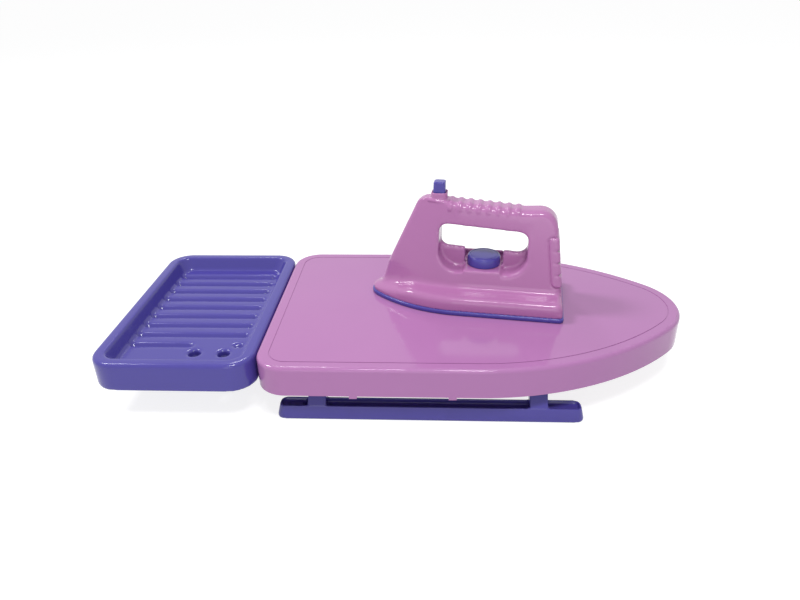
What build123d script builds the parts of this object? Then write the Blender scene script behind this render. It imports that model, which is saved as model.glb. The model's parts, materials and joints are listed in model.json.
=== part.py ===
from build123d import *
import math
import os

# A toy ironing board on two folding leg rails, with a tray plugged in at its square end
# and a toy iron standing on it. Millimetres, +Z up, +X towards the nose, +Y to the rear.
# The origin is at floor level under the middle of the whole set.

# Board pan
board_length = 404.6
board_width = 246.0
board_top_z = 61.4
skirt_height = 28.6
board_side_length = 198.0
board_nose_radius = 64.0
board_corner_radius = 28.0
board_edge_round = 3.5
panel_wall = 2.6
skirt_wall = 2.4
groove_inset = 10.8
groove_width = 1.0
groove_depth = 0.5
rib_height = 4.0
rib_wall = 1.8
rib_spacing = 24.0
rib_end_margin = 34.0
lug_length = 7.0
lug_height = 2.6
lug_places = [89.0, 177.0]

# Tray
tray_width = 150.0
tray_depth = 240.0
tray_height = 28.6
tray_gap = 0.8
tray_corner_radius = 24.0
tray_edge_round = 3.4
tray_rim_width = 11.0
tray_slope_run = 6.0
tray_sink = 14.0
tray_wall = 2.2
tray_pocket_radius = 13.0
tray_fold_round = 1.6
valley_count = 9
valley_pitch = 18.7
valley_width = 5.6
valley_end_flat = 0.2
valley_depth = 3.0
valley_left_gap = 1.2
valley_right_gap = 7.0
first_valley_from_front = 57.0
pad_length = 42.0
pad_from_side = 30.0
tray_hole_radius = 5.3
tray_hole_spacing = 28.0
tray_hole_from_front = 43.0
socket_wall = 2.0
socket_depth = 13.4
tongue_width = 26.0
tongue_thickness = 7.0
tongue_length = 24.0
tongue_wall = 2.2
tongue_offset = 80.0
tongue_drop = 10.6
tongue_clearance = 0.3
sleeve_wall = 2.0

# Leg rails
foot_length = 281.5
foot_width = 18.0
foot_height = 14.4
foot_taper = 1.5
foot_end_taper = 3.5
foot_corner_radius = 7.0
foot_bottom_round = 1.5
foot_wall = 2.2
foot_floor = 2.4
foot_setback = 8.0
foot_centre_from_end = 156.5
post_centre_from_end = 154.5
post_spacing = 201.0
post_width = 16.5
post_depth = 11.0
post_wall = 2.2
post_lean = 35.0
knuckle_radius = 8.4
stop_gap = 0.2
rod_radius = 2.5
running_clearance = 0.05
side_clearance = 0.4
rod_overhang = 3.4
nut_radius = 5.2
nut_thickness = 2.0
block_width = 18.0
block_depth = 28.0
cap_height = 7.0
cap_edge_round = 1.5

# Screws
screw_radius = 1.5
screw_head_radius = 3.0
screw_head_height = 1.8
screw_slot_width = 0.8
screw_slot_depth = 0.9
screw_clearance = 0.05
cap_screw_offset = 9.0
cap_screw_length = 13.0

# A cut runs past the face that it opens by this much, or by a hair where it ends on a slope
overrun = 1.0
hair = 0.01

# Iron, in its own frame: heel at x = 0, tip at x = sole_length, sole on z = 0
sole_length = 197.0
sole_half_width = 45.6
sole_side_length = 104.0
sole_nose_radius = 18.5
sole_corner_radius = 5.0
sole_thickness = 4.8
sole_edge_round = 1.6
sole_lip = 1.4
sole_rim_height = 3.6
sole_rim_wall = 1.6
sole_rim_fit = 0.2
iron_wall = 2.2
band_top_z = 14.0
shoulder_inset = 4.4
shoulder_top_z = 18.0
ledge_top_z = 20.5
flank_half_width = 24.5
flank_side_length = 90.0
flank_nose_radius = 7.0
flank_heel_inset = 3.6
flank_tip_inset = 11.0
flank_corner_radius = 4.0
crown_half_width = 10.0
crown_side_length = 88.5
crown_nose_radius = 6.0
crown_heel_inset = 15.9
crown_tip_inset = 52.9
crown_z = 112.0
heel_top_z = 101.0
grip_low_z = 98.9
grip_low_x = 45.0
middle_top_z = 103.4
middle_top_x = 108.0
front_top_z = 107.8
heel_top_round = 18.0
grip_low_round = 40.0
middle_top_round = 60.0
front_top_round = 15.0
crown_round_width = 7.5
crown_round_height = 7.0
crown_round_steps = 4
crown_side_y = 12.9
profile_margin = 0.3

# Finger opening, with its places measured from the heel
opening_low_x = 39.0
opening_high_x = 125.5
opening_low_heel_z = 52.6
opening_low_front_z = 56.6
opening_heel_z = 80.0
opening_front_z = 85.4
opening_round = 9.8

# Hollow beside the web under the opening, and the seat of the dial
scoop_low_z = 36.0
scoop_round = 20.0
web_half_thickness = 3.2
dial_x = 81.4
dial_radius = 16.7
dial_thickness = 9.9
dial_seat_z = 38.7
dial_seat_half_length = 18.8
dial_gap = 0.3
dial_round = 2.4
dial_ring_inset = 4.0
dial_ring_width = 0.8
dial_ring_depth = 0.4
dial_stem_radius = 3.5
dial_boss_radius = 7.0
dial_boss_depth = 5.0
dial_washer_radius = 6.0
dial_washer_thickness = 1.5
dial_screw_length = 7.0

# Steam button, its collar and the spring in the well below it
button_x = 127.0
button_size = 11.6
button_corner = 3.2
button_top_z = 122.2
button_top_round = 1.8
button_fit = 0.25
flange_size = 13.4
flange_height = 2.0
flange_gap = 0.1
pin_radius = 2.2
pin_length = 6.0
collar_size = 14.8
collar_corner = 4.4
collar_top_z = 112.0
neck_low_z = 104.0
well_size = 14.0
well_floor_z = 88.0
well_wall = 1.8
spring_radius = 3.9
spring_wire_radius = 0.45
spring_turns = 5
spring_end_gap = 0.1

# Grip ridges on the handle and ribs on the heel
ridge_count = 8
ridge_pitch = 9.24
ridge_radius = 3.6
ridge_proud = 1.6
ridge_bend = 4.0
ridge_first_x = 50.6
heel_pad_low_z = 28.0
heel_pad_high_z = 75.0
heel_pad_length = 10.5
heel_pad_proud = 0.9
heel_pad_corner = 3.0
heel_groove_count = 3
heel_groove_radius = 1.6

# Bosses and screws that join the iron's two halves to each other and to the sole
boss_radius = 4.0
iron_screw_places = [(26.0, 84.0), (24.0, 31.0), (134.0, 42.0), (137.0, 78.0)]
iron_screw_length = 16.0
iron_screw_reach = 8.0
sole_screw_places = [(36.0, 30.0), (132.0, 27.0)]
sole_screw_length = 9.0
sole_boss_top_z = 18.0

# Where the iron stands on the board
iron_tip_from_end = 96.0
iron_tip_from_front = 154.0
iron_turn = 8.4

# Places worked out from the sizes above
board_end_x = (tray_width + tray_gap - board_length) / 2
board_front_y = -board_width / 2
skirt_low_z = board_top_z - skirt_height
panel_low_z = board_top_z - panel_wall
tray_high_x = board_end_x - tray_gap
tray_low_x = tray_high_x - tray_width
tray_floor_z = board_top_z - tray_sink
hinge_z = panel_low_z - stop_gap - knuckle_radius
lean = math.radians(post_lean)
foot_rim_y = board_front_y + foot_setback + foot_taper
hinge_y = (
    foot_rim_y
    + post_depth / 2 * math.cos(lean)
    + (hinge_z - foot_height + post_depth / 2 * math.sin(lean)) * math.tan(lean)
)
foot_centre_x = board_end_x + foot_centre_from_end
foot_centre_y = board_front_y + foot_setback + foot_width / 2
post_centre_x = board_end_x + post_centre_from_end
post_xs = [post_centre_x - post_spacing / 2, post_centre_x + post_spacing / 2]
tongue_high_z = board_top_z - tongue_drop
tongue_low_z = tongue_high_z - tongue_thickness
sole_screw_base_z = screw_head_height + screw_clearance
stem_low_z = dial_seat_z - dial_boss_depth - dial_gap


def block(low, high):
    """A box between two opposite corners."""
    centre = [(a + b) / 2 for a, b in zip(low, high)]
    size = [b - a for a, b in zip(low, high)]
    return Pos(*centre) * Box(*size)


def rod(start, end, radius):
    """A round bar between two points."""
    direction = Vector(*end) - Vector(*start)
    section = Plane(Vector(*start), z_dir=direction) * Circle(radius)
    return extrude(section, amount=direction.length)


def slab(face, low_z, high_z):
    """A flat face on the ground plane, lifted to low_z and made solid up to high_z."""
    return extrude(Pos(0, 0, low_z) * face, amount=high_z - low_z)


def pointed_face(length, half_width, side_length, nose_radius, corner_radius):
    """A plate with its square end on x = 0, parallel sides, and a round nose at x = length."""
    run = length - nose_radius - side_length
    side_radius = (half_width**2 + run**2 - nose_radius**2) / (2 * (half_width - nose_radius))
    centre_y = half_width - side_radius
    reach = side_radius / (side_radius - nose_radius)
    meet_x = side_length + run * reach
    meet_y = centre_y - centre_y * reach
    middle = math.pi / 4 + math.atan2(-centre_y, run) / 2
    mid_x = side_length + side_radius * math.cos(middle)
    mid_y = centre_y + side_radius * math.sin(middle)
    corner_cut = corner_radius * (1 - math.sqrt(0.5))
    sides = []
    for sign in (1, -1):
        side_y = sign * half_width
        end_y = sign * (half_width - corner_radius)
        corner_middle = (corner_cut, sign * (half_width - corner_cut))
        arc_middle = (mid_x, sign * mid_y)
        arc_end = (meet_x, sign * meet_y)
        sides += [
            Line((0, end_y), (0, 0)),
            Line((corner_radius, side_y), (side_length, side_y)),
            ThreePointArc((side_length, side_y), arc_middle, arc_end),
            ThreePointArc((0, end_y), corner_middle, (corner_radius, side_y)),
        ]
    sides.append(ThreePointArc((meet_x, meet_y), (length, 0), (meet_x, -meet_y)))
    return make_face(sides)


def between_faces(low_face, low_z, high_face, high_z):
    """A solid ruled from one flat outline up to another."""
    return loft([Pos(0, 0, low_z) * low_face, Pos(0, 0, high_z) * high_face], ruled=True)


def rounded_plate(length, width, radius, low_z, high_z):
    """An upright prism on a rectangle with round corners, centred on the Z axis."""
    return slab(RectangleRounded(length, width, radius), low_z, high_z)


def low_edges(solid, z):
    """The edges of a solid that lie flat at height z."""
    return solid.edges().filter_by_position(Axis.Z, z, z)


def mirrored(solid):
    """The same piece on the other side of the long middle plane."""
    return mirror(solid, Plane.XZ)


def board_outline(inset):
    """The board's outline, drawn in by an inset, square end on its place in the set."""
    face = pointed_face(
        board_length - 2 * inset,
        board_width / 2 - inset,
        board_side_length - inset,
        board_nose_radius - inset,
        board_corner_radius - inset,
    )
    return Pos(board_end_x + inset, 0, 0) * face


def screw(length):
    """A slotted screw, head down on z = 0, shank up along +Z."""
    head = Pos(0, 0, -screw_head_height / 2) * Cylinder(screw_head_radius, screw_head_height)
    shank = Pos(0, 0, length / 2) * Cylinder(screw_radius, length)
    slot = block(
        (-screw_head_radius, -screw_slot_width / 2, -screw_head_height - overrun),
        (screw_head_radius, screw_slot_width / 2, -screw_head_height + screw_slot_depth),
    )
    return head + shank - slot


def cap_screw_places():
    """Centres of the screws that hold the hinge caps, front pair of each cap first."""
    places = []
    for x in block_centres():
        for sign in (-1, 1):
            places.append((x, hinge_y + sign * cap_screw_offset))
    return places


def block_centres():
    """Middles of the hinge blocks, each on the inner side of its post."""
    reach = post_width / 2 + side_clearance + block_width / 2
    return [post_xs[0] + reach, post_xs[1] - reach]


def hinge_block(x):
    """The board's half of one hinge bearing, with its screw holes, at the front."""
    body = block(
        (x - block_width / 2, hinge_y - block_depth / 2, hinge_z),
        (x + block_width / 2, hinge_y + block_depth / 2, panel_low_z),
    )
    return body


def board_shell():
    """The pink pan: ironing surface, skirt, ribs, hinge blocks and the tray's sleeves."""
    shell = slab(board_outline(0), skirt_low_z, board_top_z)
    shell = fillet(low_edges(shell, board_top_z), board_edge_round)
    shell -= slab(board_outline(skirt_wall), skirt_low_z - overrun, panel_low_z)
    groove = board_outline(groove_inset) - board_outline(groove_inset + groove_width)
    shell -= slab(groove, board_top_z - groove_depth, board_top_z + overrun)
    rib_low_x = board_end_x + rib_end_margin
    rib_high_x = board_end_x + board_length - rib_end_margin
    for sign in (-1, 1):
        rib_y = sign * rib_spacing / 2
        shell += block(
            (rib_low_x, rib_y - rib_wall / 2, panel_low_z - rib_height),
            (rib_high_x, rib_y + rib_wall / 2, panel_low_z + overrun),
        )
    fittings = Part()
    for x in block_centres():
        fittings += hinge_block(x)
    fittings += tray_sleeve()
    shell += fittings + mirrored(fittings)
    bores = Part()
    for x in block_centres():
        start = (x - block_width / 2 - overrun, hinge_y, hinge_z)
        end = (x + block_width / 2 + overrun, hinge_y, hinge_z)
        bores += rod(start, end, rod_radius + running_clearance)
    for x, y in cap_screw_places():
        depth = cap_screw_length - cap_height + screw_clearance
        hole_start = (x, y, hinge_z - overrun)
        bores += rod(hole_start, (x, y, hinge_z + depth), screw_radius + screw_clearance)
    bores += tray_slot()
    shell -= bores + mirrored(bores)
    for place in lug_places:
        x = board_end_x + place
        shell += block(
            (x - lug_length / 2, board_front_y, skirt_low_z - lug_height),
            (x + lug_length / 2, board_front_y + skirt_wall, skirt_low_z + overrun),
        )
    return shell


def tray_sleeve():
    """The walls under the panel that guide the tray's front tongue."""
    side = tongue_width / 2 + tongue_clearance + sleeve_wall
    return block(
        (
            board_end_x + skirt_wall / 2,
            -tongue_offset - side,
            tongue_low_z - tongue_clearance - sleeve_wall,
        ),
        (board_end_x + tongue_length, -tongue_offset + side, panel_low_z + overrun),
    )


def tray_slot():
    """The way for the tray's front tongue through the skirt and its sleeve."""
    side = tongue_width / 2 + tongue_clearance
    return block(
        (board_end_x - overrun, -tongue_offset - side, tongue_low_z - tongue_clearance),
        (
            board_end_x + tongue_length + overrun,
            -tongue_offset + side,
            tongue_high_z + tongue_clearance,
        ),
    )


def tray_face(inset, radius):
    """The tray's outline drawn in by an inset."""
    outline = RectangleRounded(tray_width - 2 * inset, tray_depth - 2 * inset, radius)
    return Pos((tray_low_x + tray_high_x) / 2, 0, 0) * outline


def tray_bowl(grow, low_z, high_z):
    """The tray's hollow with sloping sides, drawn out by grow for the wall beneath it."""
    rim_face = tray_face(tray_rim_width - grow, tray_pocket_radius + grow)
    floor_face = tray_face(tray_rim_width + tray_slope_run - grow, tray_pocket_radius + grow)
    return between_faces(floor_face, low_z, rim_face, high_z)


def valley(low_x, high_x, y, grow):
    """One groove of the tray's floor, or the wall below it where grow is the wall."""
    low_z = tray_floor_z - valley_depth - grow
    length = high_x - low_x + 2 * grow
    width = valley_width + 2 * grow
    end_radius = (width - valley_end_flat) / 2
    shape = rounded_plate(length, width, end_radius, low_z, tray_floor_z + overrun)
    return Pos((low_x + high_x) / 2, y, 0) * shape


def valley_spans():
    """The length and place of each groove: the front one is broken by the pad."""
    inner = tray_rim_width + tray_slope_run
    low_x = tray_low_x + inner + valley_left_gap
    high_x = tray_high_x - inner - valley_right_gap
    spans = []
    for i in range(valley_count):
        y = -tray_depth / 2 + first_valley_from_front + i * valley_pitch
        if i == 0:
            pad_high_x = tray_high_x - pad_from_side
            spans.append((low_x, pad_high_x - pad_length, y))
            spans.append((pad_high_x, high_x, y))
        else:
            spans.append((low_x, high_x, y))
    return spans


def tray():
    """The purple tray: skirt, broad rim, sloping sides, grooved floor and two tongues."""
    low_z = board_top_z - tray_height
    shell = slab(tray_face(0, tray_corner_radius), low_z, board_top_z)
    shell = fillet(low_edges(shell, board_top_z), tray_edge_round)
    inner_face = tray_face(tray_wall, tray_corner_radius - tray_wall)
    cavity = slab(inner_face, low_z - overrun, board_top_z - tray_wall)
    cavity -= tray_bowl(tray_wall, tray_floor_z - tray_wall, board_top_z)
    for low_x, high_x, y in valley_spans():
        cavity -= valley(low_x, high_x, y, tray_wall)
    bowl = tray_bowl(0, tray_floor_z, board_top_z + hair)
    bowl = fillet(low_edges(bowl, tray_floor_z), tray_fold_round)
    shell -= cavity
    shell -= bowl
    for low_x, high_x, y in valley_spans():
        shell -= valley(low_x, high_x, y, 0)
    for x, y in tray_hole_places():
        socket_low = (x, y, tray_floor_z - socket_depth)
        shell += rod(socket_low, (x, y, tray_floor_z), tray_hole_radius + socket_wall)
        shell -= rod((x, y, low_z), (x, y, board_top_z), tray_hole_radius)
    for sign in (-1, 1):
        y = sign * tongue_offset
        tongue = block(
            (tray_high_x - tray_wall / 2, y - tongue_width / 2, tongue_low_z),
            (tray_high_x + tray_gap + tongue_length, y + tongue_width / 2, tongue_high_z),
        )
        tongue -= block(
            (
                tray_high_x - tray_wall,
                y - tongue_width / 2 + tongue_wall,
                tongue_low_z - overrun,
            ),
            (
                tray_high_x + tray_gap + tongue_length - tongue_wall,
                y + tongue_width / 2 - tongue_wall,
                tongue_high_z - tongue_wall,
            ),
        )
        shell += tongue
    return shell


def tray_hole_places():
    """Centres of the two round holes in the tray's front pad."""
    middle_x = tray_high_x - pad_from_side - pad_length / 2
    y = -tray_depth / 2 + tray_hole_from_front
    return [(middle_x - tray_hole_spacing / 2, y), (middle_x + tray_hole_spacing / 2, y)]


def foot_face(inset, end_inset):
    """The foot's outline, drawn in along the sides and at the ends."""
    width = foot_width - 2 * inset
    outline = RectangleRounded(foot_length - 2 * end_inset, width, foot_corner_radius - inset)
    return Pos(foot_centre_x, foot_centre_y, 0) * outline


def post_profile(wall):
    """The side view of a post in the YZ plane, drawn in by a wall for its hollow."""
    rise = foot_height - foot_floor
    front_low = (foot_rim_y + wall, foot_floor + wall)
    front_rim = (foot_rim_y + wall, foot_height - wall * math.tan(lean / 2))
    along = (hinge_z - foot_height) / math.cos(lean)
    front_top = (
        foot_rim_y + along * math.sin(lean) + wall / math.cos(lean),
        hinge_z,
    )
    back_top = (front_top[0] + (post_depth - wall) / math.cos(lean), hinge_z)
    back_low = (foot_rim_y + post_depth / math.cos(lean) - rise * math.tan(lean), foot_floor + wall)
    outline = make_face(Polyline(front_low, front_rim, front_top, back_top, back_low, close=True))
    return Plane.YZ * outline


def post(x):
    """One leaning post with its knuckle, open at the back like a channel."""
    body = Pos(x, 0, 0) * extrude(post_profile(0), amount=post_width / 2, both=True)
    hollow = extrude(post_profile(post_wall), amount=post_width / 2 - post_wall, both=True)
    body -= Pos(x, 0, 0) * hollow
    knuckle_start = (x - post_width / 2, hinge_y, hinge_z)
    knuckle_end = (x + post_width / 2, hinge_y, hinge_z)
    knuckle = rod(knuckle_start, knuckle_end, knuckle_radius)
    heel = block(
        (x - post_width / 2, hinge_y - knuckle_radius, hinge_z),
        (x + post_width / 2, hinge_y, hinge_z + knuckle_radius),
    )
    return body + knuckle + heel


def leg_rail():
    """The front leg rail in one piece: foot channel and two posts up to the hinge."""
    foot = between_faces(foot_face(0, 0), 0, foot_face(foot_taper, foot_end_taper), foot_height)
    foot = fillet(low_edges(foot, 0), foot_bottom_round)
    channel = between_faces(
        foot_face(foot_wall, foot_wall),
        foot_floor,
        foot_face(foot_wall + foot_taper, foot_wall + foot_end_taper),
        foot_height + hair,
    )
    rail = foot - channel
    for x in post_xs:
        rail += post(x)
    for x in post_xs:
        start = (x - post_width / 2 - overrun, hinge_y, hinge_z)
        end = (x + post_width / 2 + overrun, hinge_y, hinge_z)
        rail -= rod(start, end, rod_radius + running_clearance)
    return rail


def hinge_rod():
    """The steel rod of the front hinge."""
    reach = post_width / 2 + rod_overhang
    start = (post_xs[0] - reach, hinge_y, hinge_z)
    return rod(start, (post_xs[1] + reach, hinge_y, hinge_z), rod_radius)


def rod_nuts():
    """The four push-on nuts that keep the rods in place, outside the posts."""
    nuts = Part()
    for x, side in zip(post_xs, (-1, 1)):
        inner = x + side * (post_width / 2 + side_clearance)
        start = (inner, hinge_y, hinge_z)
        end = (inner + side * nut_thickness, hinge_y, hinge_z)
        nut = rod(start, end, nut_radius)
        bore_start = (inner - side * overrun, hinge_y, hinge_z)
        bore_end = (inner + side * (nut_thickness + overrun), hinge_y, hinge_z)
        nut -= rod(bore_start, bore_end, rod_radius + screw_clearance)
        nuts += nut
    return nuts + mirrored(nuts)


def hinge_cap(x):
    """A cap under one front hinge block, with its half of the bearing and two screw holes."""
    cap = block(
        (x - block_width / 2, hinge_y - block_depth / 2, hinge_z - cap_height),
        (x + block_width / 2, hinge_y + block_depth / 2, hinge_z),
    )
    cap = fillet(low_edges(cap, hinge_z - cap_height), cap_edge_round)
    start = (x - block_width / 2 - overrun, hinge_y, hinge_z)
    cap -= rod(start, (x + block_width / 2 + overrun, hinge_y, hinge_z), rod_radius + running_clearance)
    for sign in (-1, 1):
        y = hinge_y + sign * cap_screw_offset
        hole_start = (x, y, hinge_z - cap_height - overrun)
        cap -= rod(hole_start, (x, y, hinge_z + overrun), screw_radius + screw_clearance)
    return cap


def cap_screws():
    """The eight screws of the hinge caps."""
    screws = Part()
    for x, y in cap_screw_places():
        screws += Pos(x, y, hinge_z - cap_height) * screw(cap_screw_length)
    return screws + mirrored(screws)


def iron_face(half_width, side_length, nose_radius, corner_radius, heel_inset, tip_inset, inset):
    """One level outline of the iron between its heel and tip, drawn in by a wall."""
    face = pointed_face(
        sole_length - heel_inset - tip_inset - 2 * inset,
        half_width - inset,
        side_length - inset,
        nose_radius - inset,
        corner_radius - inset * corner_radius / flank_nose_radius,
    )
    return Pos(heel_inset + inset, 0, 0) * face


def sole_face(inset):
    """The sole's outline, drawn in by an inset."""
    return iron_face(
        sole_half_width, sole_side_length, sole_nose_radius, sole_corner_radius, 0, 0, inset
    )


def flank_half_width_at(z):
    """Half the width of the iron's flanks at a height."""
    share = (z - ledge_top_z) / (crown_z - ledge_top_z)
    return flank_half_width + share * (crown_half_width - flank_half_width)


def flank_heel_x(z):
    """Where the leaning back of the iron stands at a height."""
    share = (z - ledge_top_z) / (crown_z - ledge_top_z)
    return flank_heel_inset + share * (crown_heel_inset - flank_heel_inset)


def flank_tip_x(z):
    """Where the front ridge of the iron stands at a height."""
    share = (z - ledge_top_z) / (crown_z - ledge_top_z)
    return sole_length - flank_tip_inset - share * (crown_tip_inset - flank_tip_inset)


def rounded_corner(face, point, radius):
    """A flat outline with its corner at a point rounded."""
    place = Vector(*point)
    corner = [v for v in face.vertices() if (v.center() - place).length < profile_margin]
    return fillet(corner, radius)


def iron_profile(inset, drop):
    """The iron's side view above the ledge, its top line lowered by drop."""
    low_z = band_top_z - inset
    lower = inset + drop
    heel_low = (flank_heel_x(low_z) - profile_margin + inset, low_z)
    ridge_low = (flank_tip_x(low_z) + profile_margin - inset, low_z)
    ridge_top = (flank_tip_x(front_top_z - lower) + profile_margin - inset, front_top_z - lower)
    middle = (middle_top_x, middle_top_z - lower)
    grip_low = (grip_low_x, grip_low_z - lower)
    heel_top = (flank_heel_x(heel_top_z - lower) - profile_margin + inset, heel_top_z - lower)
    corners = [heel_low, ridge_low, ridge_top, middle, grip_low, heel_top]
    face = make_face(Polyline(*corners, close=True))
    for point, radius in (
        (ridge_top, front_top_round),
        (middle, middle_top_round),
        (grip_low, grip_low_round),
        (heel_top, heel_top_round),
    ):
        face = rounded_corner(face, point, radius - inset)
    return face


def iron_profile_at(y, inset, drop):
    """The side view stood up on a plane across the iron."""
    return Pos(0, y, 0) * (Rot(90, 0, 0) * iron_profile(inset, drop))


def iron_crown(inset):
    """The side view given its width, rolled over towards both sides at the top."""
    width = crown_round_width - inset
    height = crown_round_height - inset
    flat_y = crown_side_y - crown_round_width
    sections = []
    for i in range(crown_round_steps + 1):
        turn = math.pi / 2 * i / crown_round_steps
        y = flat_y + width * math.sin(turn)
        sections.append(iron_profile_at(y, inset, height * (1 - math.cos(turn))))
    roll = loft(sections)
    side_y = flat_y + width
    flank = extrude(iron_profile_at(side_y, inset, height), amount=flank_half_width, dir=(0, 1, 0))
    middle = extrude(iron_profile_at(0, inset, 0), amount=flat_y, dir=(0, 1, 0))
    half = middle + roll + flank
    return half + mirrored(half)


def iron_form(inset):
    """The iron's whole form above the sole, drawn in by a wall: band, ledge and flanks."""
    band_face = sole_face(sole_lip + inset)
    shoulder_face = sole_face(shoulder_inset + inset)
    flank_face = iron_face(
        flank_half_width,
        flank_side_length,
        flank_nose_radius,
        flank_corner_radius,
        flank_heel_inset,
        flank_tip_inset,
        inset,
    )
    crown_face = iron_face(
        crown_half_width,
        crown_side_length,
        crown_nose_radius,
        flank_corner_radius,
        crown_heel_inset,
        crown_tip_inset,
        inset,
    )
    low_z = sole_thickness - inset
    band = slab(band_face, low_z, band_top_z - inset)
    shoulder = between_faces(
        band_face, band_top_z - inset, shoulder_face, shoulder_top_z - inset
    )
    ledge = between_faces(
        shoulder_face, shoulder_top_z - inset, flank_face, ledge_top_z - inset
    )
    flank = between_faces(flank_face, ledge_top_z - inset, crown_face, crown_z)
    return band + shoulder + ledge + (flank & iron_crown(inset))


def side_prism(corners, rounds, low_y, high_y):
    """A prism across the iron on corners given in X and Z, each with its own rounding."""
    face = make_face(Polyline(*corners, close=True))
    for point, radius in zip(corners, rounds):
        if radius > 0:
            face = rounded_corner(face, point, radius)
    stood = Pos(0, low_y, 0) * (Rot(90, 0, 0) * face)
    return extrude(stood, amount=high_y - low_y, dir=(0, 1, 0))


def finger_opening(grow):
    """The hand hole through the iron, drawn out by grow for the wall around it."""
    corners = [
        (opening_low_x - grow, opening_low_heel_z - grow),
        (opening_high_x + grow, opening_low_front_z - grow),
        (opening_high_x + grow, opening_front_z + grow),
        (opening_low_x - grow, opening_heel_z + grow),
    ]
    radius = opening_round + grow
    return side_prism(corners, [radius] * len(corners), -sole_half_width, sole_half_width)


def scoop(grow, low_y):
    """The hollow beside the web on one side, without the seat that carries the dial."""
    corners = [
        (opening_low_x - grow, scoop_low_z - grow),
        (opening_high_x + grow, scoop_low_z - grow),
        (opening_high_x + grow, opening_low_front_z + opening_round),
        (opening_low_x - grow, opening_low_heel_z + opening_round),
    ]
    radius = scoop_round + grow
    hollow = side_prism(corners, [radius, radius, 0, 0], low_y, sole_half_width)
    seat = block(
        (dial_x - dial_seat_half_length + grow, low_y - overrun, 0),
        (dial_x + dial_seat_half_length - grow, sole_half_width + overrun, dial_seat_z - grow),
    )
    return hollow - seat


def dial_notch():
    """The notch in the web that the dial turns in."""
    return block(
        (dial_x - dial_seat_half_length, -sole_half_width, dial_seat_z),
        (dial_x + dial_seat_half_length, sole_half_width, opening_low_front_z + overrun),
    )


def iron_openings():
    """All that is cut out of the iron's form for the hand and the dial."""
    side_scoop = scoop(0, web_half_thickness)
    return finger_opening(0) + side_scoop + mirrored(side_scoop) + dial_notch()


def iron_cavity():
    """The room inside the iron's walls."""
    inside = iron_form(iron_wall)
    inside -= finger_opening(iron_wall)
    walls = scoop(iron_wall, 0)
    return inside - walls - mirrored(walls)


def handle_top_z(x):
    """The height of the handle's top line at a place along the iron, before its ridges."""
    share = (x - grip_low_x) / (middle_top_x - grip_low_x)
    return grip_low_z + (middle_top_z - grip_low_z) * share


def grip_ridges():
    """Round ridges across the top of the handle and over its rolled edges."""
    flat_y = crown_side_y - crown_round_width
    side_y = flat_y + ridge_bend
    across = ridge_bend * math.sqrt(0.5)
    ridges = Part()
    for i in range(ridge_count):
        x = ridge_first_x + i * ridge_pitch
        top_z = handle_top_z(x) + ridge_proud - ridge_radius
        bend_z = top_z - ridge_bend
        path = Wire(
            [
                ThreePointArc(
                    (x, -side_y, bend_z), (x, -flat_y - across, bend_z + across), (x, -flat_y, top_z)
                ),
                Line((x, -flat_y, top_z), (x, flat_y, top_z)),
                ThreePointArc(
                    (x, flat_y, top_z), (x, flat_y + across, bend_z + across), (x, side_y, bend_z)
                ),
            ]
        )
        section = Plane((x, -side_y, bend_z), z_dir=(0, 0, 1)) * Circle(ridge_radius)
        ridge = sweep(section, path)
        for sign in (-1, 1):
            ridge += Pos(x, sign * side_y, bend_z) * Sphere(ridge_radius)
        ridges += ridge
    return ridges


def heel_pad():
    """A raised pad round the iron's heel."""
    faces = []
    for z in (heel_pad_low_z, heel_pad_high_z):
        half_width = flank_half_width_at(z) + heel_pad_proud
        outline = RectangleRounded(heel_pad_length, 2 * half_width, heel_pad_corner)
        middle_x = flank_heel_x(z) - heel_pad_proud + heel_pad_length / 2
        faces.append(Pos(middle_x, 0, 0) * outline)
    return between_faces(faces[0], heel_pad_low_z, faces[1], heel_pad_high_z)


def heel_grooves():
    """Level grooves across the heel pad."""
    grooves = Part()
    step = (heel_pad_high_z - heel_pad_low_z) / (heel_groove_count + 1)
    for i in range(heel_groove_count):
        z = heel_pad_low_z + (i + 1) * step
        x = flank_heel_x(z) - heel_pad_proud
        grooves += rod((x, -sole_half_width, z), (x, sole_half_width, z), heel_groove_radius)
    return grooves


def square_tube(size, corner, low_z, high_z):
    """An upright prism with round corners on the button's axis."""
    return Pos(button_x, 0, 0) * rounded_plate(size, size, corner, low_z, high_z)


def iron_bosses(form):
    """Screw bosses across the iron and up from the sole, kept inside its form."""
    bosses = Part()
    for x, z in iron_screw_places:
        bosses += rod((x, -sole_half_width, z), (x, sole_half_width, z), boss_radius)
    for x, y in sole_screw_places:
        for sign in (-1, 1):
            low = (x, sign * y, sole_thickness)
            bosses += rod(low, (x, sign * y, sole_boss_top_z), boss_radius)
    return bosses & form


def iron_screw_holes():
    """Holes for all the screws that enter the iron's halves."""
    holes = Part()
    for x, z in iron_screw_places:
        start = (x, -iron_screw_reach - overrun, z)
        end = (x, -iron_screw_reach + iron_screw_length + overrun, z)
        holes += rod(start, end, screw_radius + screw_clearance)
        outside = (x, -sole_half_width, z)
        holes += rod(outside, (x, -iron_screw_reach, z), screw_head_radius + screw_clearance)
    for x, y in sole_screw_places:
        top_z = sole_screw_base_z + sole_screw_length + screw_clearance
        for sign in (-1, 1):
            holes += rod((x, sign * y, 0), (x, sign * y, top_z), screw_radius + screw_clearance)
    return holes


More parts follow.
